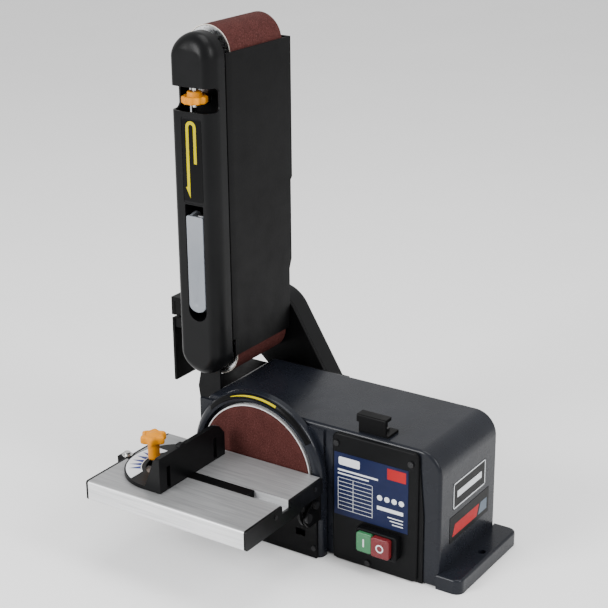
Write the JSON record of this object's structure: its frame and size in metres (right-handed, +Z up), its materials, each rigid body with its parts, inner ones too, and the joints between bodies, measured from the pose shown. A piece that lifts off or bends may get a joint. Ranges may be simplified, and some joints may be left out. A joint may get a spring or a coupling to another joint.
{
  "type": "belt grinder",
  "caption": "Bench belt and disc sander: upright belt arm on a cast motor housing, sanding disc with a tilting table and mitre gauge.",
  "frame": {"origin": "centre of the bench bolts, on the bench", "axes": "+Z up, +X towards the switch end, +Y from the disc's face towards the back"},
  "size_m": [0.418, 0.353, 0.5992],
  "materials": {
    "housing_paint": "gloss",
    "black_plastic": "satin",
    "black_paint": "satin",
    "abrasive": "coarse grit",
    "aluminium": "brushed",
    "steel": "machined",
    "zinc": "bright zinc",
    "amber_plastic": "satin",
    "silver_plastic": "metallic satin",
    "label_blue": "printed film",
    "label_dark": "printed film",
    "label_white": "printed film",
    "badge_grey": "film",
    "green_plastic": "gloss",
    "red_plastic": "gloss",
    "rubber": "matte",
    "iron": "machined"
  },
  "bodies": {
    "base": {"housing": "housing_paint", "bottom_plate": "black_paint", "lower_disc_guard": "black_paint", "end_badges": "badge_grey", "cable_gland": "black_plastic", "rest_clip": "black_paint", "base_screws": "zinc", "control_panel": "black_plastic", "rating_label": "label_blue", "switch_body": "black_plastic", "motor_can": "steel", "motor_stator": "iron", "motor_end_bells": "aluminium", "motor_bearings": "steel", "capacitor": "black_plastic", "rear_bracket": "black_paint", "rear_cover": "black_plastic", "drive_belt": "rubber", "pivot_yoke": "black_paint", "yoke_bolts": "zinc", "pivot_bearings": "steel", "table_brackets": "black_paint", "table_lock_screws": "zinc"},
    "disc_shaft": {"motor_shaft": "steel", "rotor_core": "iron", "motor_fan": "black_plastic", "disc_plate": "aluminium", "disc_paper": "abrasive", "motor_pulley": "aluminium"},
    "roller_shaft": {"drive_roller": "aluminium", "drive_shaft": "steel", "roller_pulley": "aluminium"},
    "belt_arm": {"arm_frame": "black_paint", "platen": "steel", "abrasive_belt": "abrasive", "belt_guard": "black_paint", "work_stop": "black_paint", "stop_guard": "black_paint", "arm_screws": "zinc", "tension_spring": "steel", "arm_cover": "black_plastic", "direction_label": "label_dark", "lever_pin": "steel"},
    "carriage": {"idler_carriage": "steel", "tracking_screw": "zinc", "idler_axle": "steel"},
    "idler": {"idler_roller": "aluminium"},
    "lever": {"tension_lever": "silver_plastic"},
    "tracking": {"tracking_knob": "amber_plastic"},
    "table": {"table_top": "aluminium", "table_end_caps": "black_plastic", "end_cap_screws": "zinc", "table_trunnions": "black_paint"},
    "gauge_bar": {"mitre_bar": "black_paint", "mitre_bar_screws": "zinc"},
    "gauge_head": {"mitre_head": "black_plastic", "mitre_scale": "label_white"},
    "gauge_knob": {"mitre_knob": "amber_plastic"},
    "start": {"start_button": "green_plastic"},
    "stop": {"stop_button": "red_plastic"}
  },
  "joints": [
    {"name": "arm_tilt", "type": "hinge", "parent": "base", "child": "belt_arm", "pos_m": [-0.1665, 0.013, 0.2065], "axis": [0, 1, 0], "range_deg": [0, 86]},
    {"name": "disc_spin", "type": "hinge", "parent": "base", "child": "disc_shaft", "pos_m": [-0.075, -0.087, 0.096], "axis": [0, 1, 0], "continuous": true},
    {"name": "drive_roller_spin", "type": "hinge", "parent": "base", "child": "roller_shaft", "pos_m": [-0.1665, 0.013, 0.2065], "axis": [0, 1, 0], "continuous": true},
    {"name": "belt_tension", "type": "slide", "parent": "belt_arm", "child": "carriage", "axis": [0, 0, 1], "range_m": [-0.005, 0], "deforming": ["tension_spring"]},
    {"name": "idler_spin", "type": "hinge", "parent": "carriage", "child": "idler", "pos_m": [-0.1665, 0.013, 0.5682], "axis": [0, 1, 0], "continuous": true},
    {"name": "tension_lever", "type": "hinge", "parent": "belt_arm", "child": "lever", "pos_m": [-0.163, -0.058, 0.38], "axis": [-1, 0, 0], "range_deg": [0, 90]},
    {"name": "tracking_knob", "type": "hinge", "parent": "carriage", "child": "tracking", "pos_m": [-0.1665, -0.0606, 0.52], "axis": [0, 0, 1], "range_deg": [-180, 180]},
    {"name": "table_tilt", "type": "hinge", "parent": "base", "child": "table", "pos_m": [-0.075, -0.099, 0.076], "axis": [1, 0, 0], "range_deg": [0, 45]},
    {"name": "gauge_slide", "type": "slide", "parent": "table", "child": "gauge_bar", "axis": [1, 0, 0], "range_m": [-0.08, 0.1]},
    {"name": "gauge_swing", "type": "hinge", "parent": "gauge_bar", "child": "gauge_head", "pos_m": [-0.135, -0.163, 0.11], "axis": [0, 0, 1], "range_deg": [-60, 60]},
    {"name": "gauge_knob", "type": "hinge", "parent": "gauge_bar", "child": "gauge_knob", "pos_m": [-0.165, -0.163, 0.14], "axis": [0, 0, 1], "range_deg": [-180, 180]},
    {"name": "start_press", "type": "slide", "parent": "base", "child": "start", "axis": [0, 1, 0], "range_m": [0, 0.0025], "stiffness_N_per_m": 400, "springref_m": -0.003},
    {"name": "stop_press", "type": "slide", "parent": "base", "child": "stop", "axis": [0, 1, 0], "range_m": [0, 0.0025], "stiffness_N_per_m": 400, "springref_m": -0.003}
  ],
  "couplings": [
    {"joint": "drive_roller_spin", "follows": "disc_spin", "ratio": 0.53333},
    {"joint": "idler_spin", "follows": "disc_spin", "ratio": 0.53333},
    {"joint": "belt_tension", "follows": "tension_lever", "m_per_rad": -0.0031831}
  ]
}
